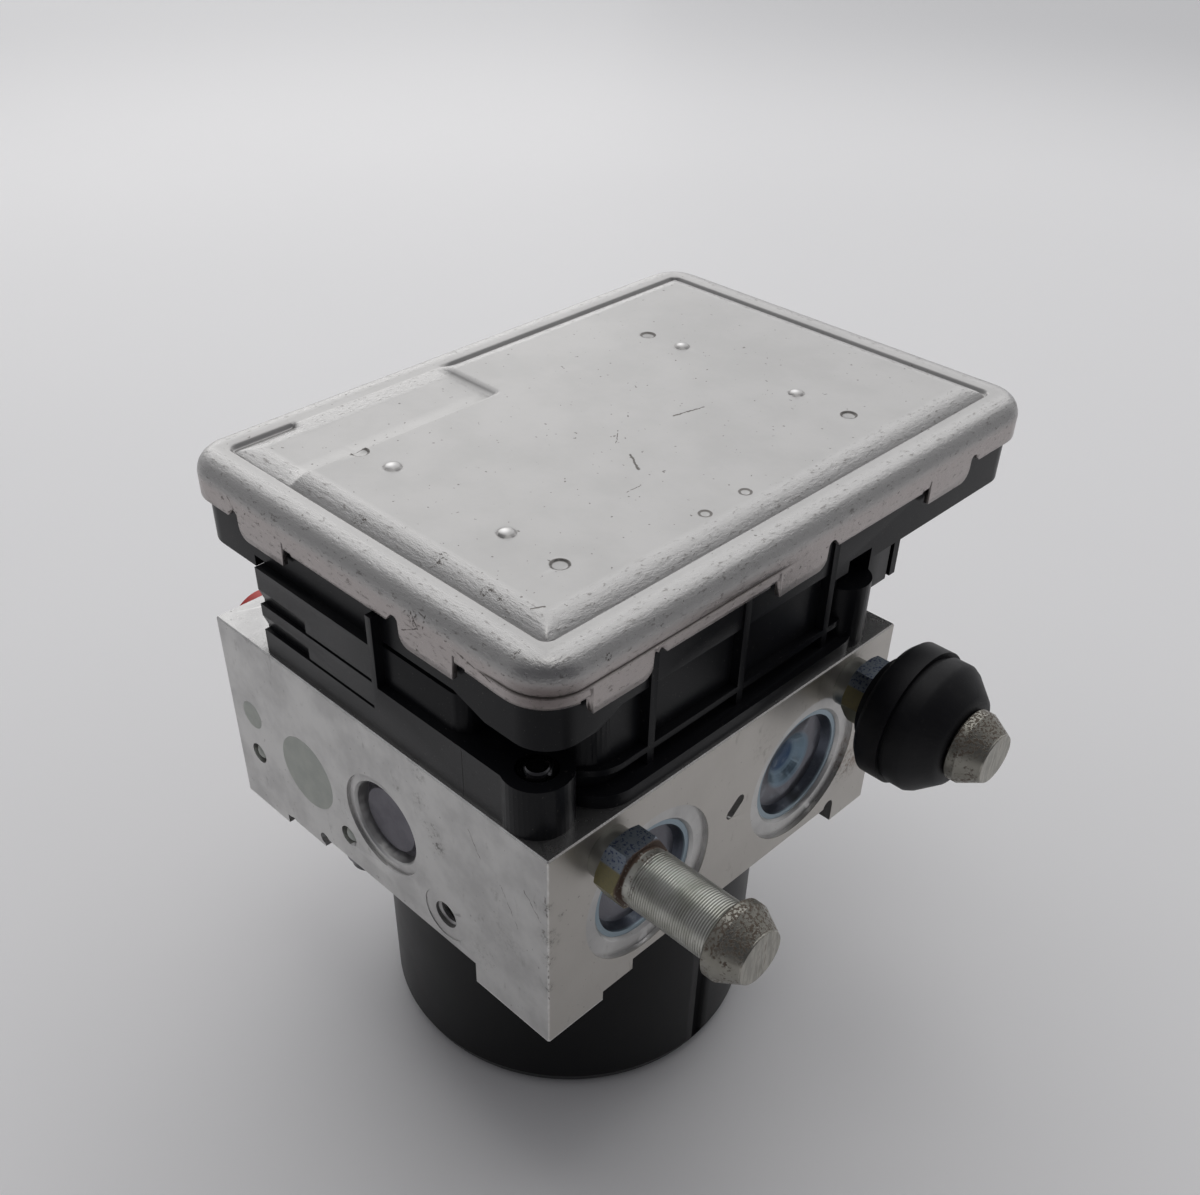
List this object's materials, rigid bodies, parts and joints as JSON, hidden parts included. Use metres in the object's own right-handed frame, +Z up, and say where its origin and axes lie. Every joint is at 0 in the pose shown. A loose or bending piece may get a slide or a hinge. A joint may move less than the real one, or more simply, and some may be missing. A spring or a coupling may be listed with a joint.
{
  "type": "abs brake module",
  "caption": "Anti-lock brake hydraulic unit: a machined valve block with a round pump motor below, a plastic controller with a stamped metal cover above and mounting studs on one side.",
  "frame": {"origin": "centre of the motor's flat closed end", "axes": "+Z up the motor axis to the cover, -Y out of the pump cap's face, +X out of the face with the studs"},
  "size_m": [0.1193, 0.1189, 0.1142],
  "materials": {
    "block_aluminium": "machined, satin",
    "cover_aluminium": "satin pressed sheet",
    "black_plastic": "satin moulded",
    "black_paint": "satin black",
    "zinc_steel": "zinc plated",
    "plain_steel": "ground",
    "spring_steel": "drawn wire",
    "piston_aluminium": "anodised",
    "black_rubber": "matt",
    "seal_rubber": "matt",
    "red_plastic": "moulded",
    "magnet_ferrite": "matt",
    "core_steel": "stacked sheet",
    "copper": "enamelled wire",
    "carbon": "pressed carbon",
    "brush_holder_plastic": "moulded",
    "board_green": "solder mask",
    "contact_metal": "tinned",
    "coil_plastic": "moulded",
    "valve_steel": "turned"
  },
  "bodies": {
    "unit": {"hydraulic_block": "block_aluminium", "lid": "cover_aluminium", "housing": "black_plastic", "motor_can": "black_paint", "mounting_stud_front": "zinc_steel", "mounting_stud_rear": "zinc_steel", "accumulator_cover_front": "zinc_steel", "accumulator_cover_rear": "zinc_steel", "motor_screws": "zinc_steel", "motor_end_plate": "zinc_steel", "housing_screws": "zinc_steel", "press_plug": "plain_steel", "ball_plugs": "plain_steel", "pump_cap_front": "plain_steel", "pump_cap_rear": "plain_steel", "bearing_front": "plain_steel", "bearing_rear": "plain_steel", "pump_spring_front": "spring_steel", "pump_spring_rear": "spring_steel", "accumulator_spring_front": "spring_steel", "accumulator_spring_rear": "spring_steel", "brush_spring_left": "spring_steel", "brush_spring_right": "spring_steel", "stud_grommet": "black_rubber", "lid_seal": "seal_rubber", "transport_plug": "red_plastic", "magnet_front": "magnet_ferrite", "magnet_rear": "magnet_ferrite", "brush_left": "carbon", "brush_right": "carbon", "brush_plate": "brush_holder_plastic", "circuit_board": "board_green", "signal_pins": "contact_metal", "power_pins": "contact_metal", "coil_1": "coil_plastic", "coil_2": "coil_plastic", "coil_3": "coil_plastic", "coil_4": "coil_plastic", "coil_5": "coil_plastic", "coil_6": "coil_plastic", "coil_7": "coil_plastic", "coil_8": "coil_plastic", "valve_1": "valve_steel", "valve_2": "valve_steel", "valve_3": "valve_steel", "valve_4": "valve_steel", "valve_5": "valve_steel", "valve_6": "valve_steel", "valve_7": "valve_steel", "valve_8": "valve_steel", "pressure_sensor": "valve_steel"},
    "rotor": {"motor_shaft": "plain_steel", "armature_core": "core_steel", "armature_winding": "copper", "commutator": "copper"},
    "ring": {"eccentric_ring": "plain_steel"},
    "pump_piston_front": {"pump_piston_front": "plain_steel"},
    "pump_piston_rear": {"pump_piston_rear": "plain_steel"},
    "accumulator_piston_front": {"accumulator_piston_front": "piston_aluminium"},
    "accumulator_piston_rear": {"accumulator_piston_rear": "piston_aluminium"}
  },
  "joints": [
    {"name": "rotor_turn", "type": "hinge", "parent": "unit", "child": "rotor", "pos_m": [0, 0, 0.0215], "axis": [0, 0, 1], "continuous": true},
    {"name": "ring_turn", "type": "hinge", "parent": "rotor", "child": "ring", "pos_m": [0.001, 0, 0.0635], "axis": [0, 0, 1], "continuous": true},
    {"name": "pump_stroke_front", "type": "slide", "parent": "unit", "child": "pump_piston_front", "axis": [0, -1, 0], "range_m": [0, 0.002], "stiffness_N_per_m": 600, "springref_m": -0.005, "deforming": ["pump_spring_front"]},
    {"name": "pump_stroke_rear", "type": "slide", "parent": "unit", "child": "pump_piston_rear", "axis": [0, 1, 0], "range_m": [0, 0.002], "stiffness_N_per_m": 600, "springref_m": -0.005, "deforming": ["pump_spring_rear"]},
    {"name": "accumulator_stroke_front", "type": "slide", "parent": "unit", "child": "accumulator_piston_front", "axis": [1, 0, 0], "range_m": [0, 0.008], "stiffness_N_per_m": 400, "springref_m": -0.006, "deforming": ["accumulator_spring_front"]},
    {"name": "accumulator_stroke_rear", "type": "slide", "parent": "unit", "child": "accumulator_piston_rear", "axis": [1, 0, 0], "range_m": [0, 0.008], "stiffness_N_per_m": 400, "springref_m": -0.006, "deforming": ["accumulator_spring_rear"]}
  ],
  "couplings": [
    {"joint": "ring_turn", "follows": "rotor_turn", "ratio": -1}
  ]
}
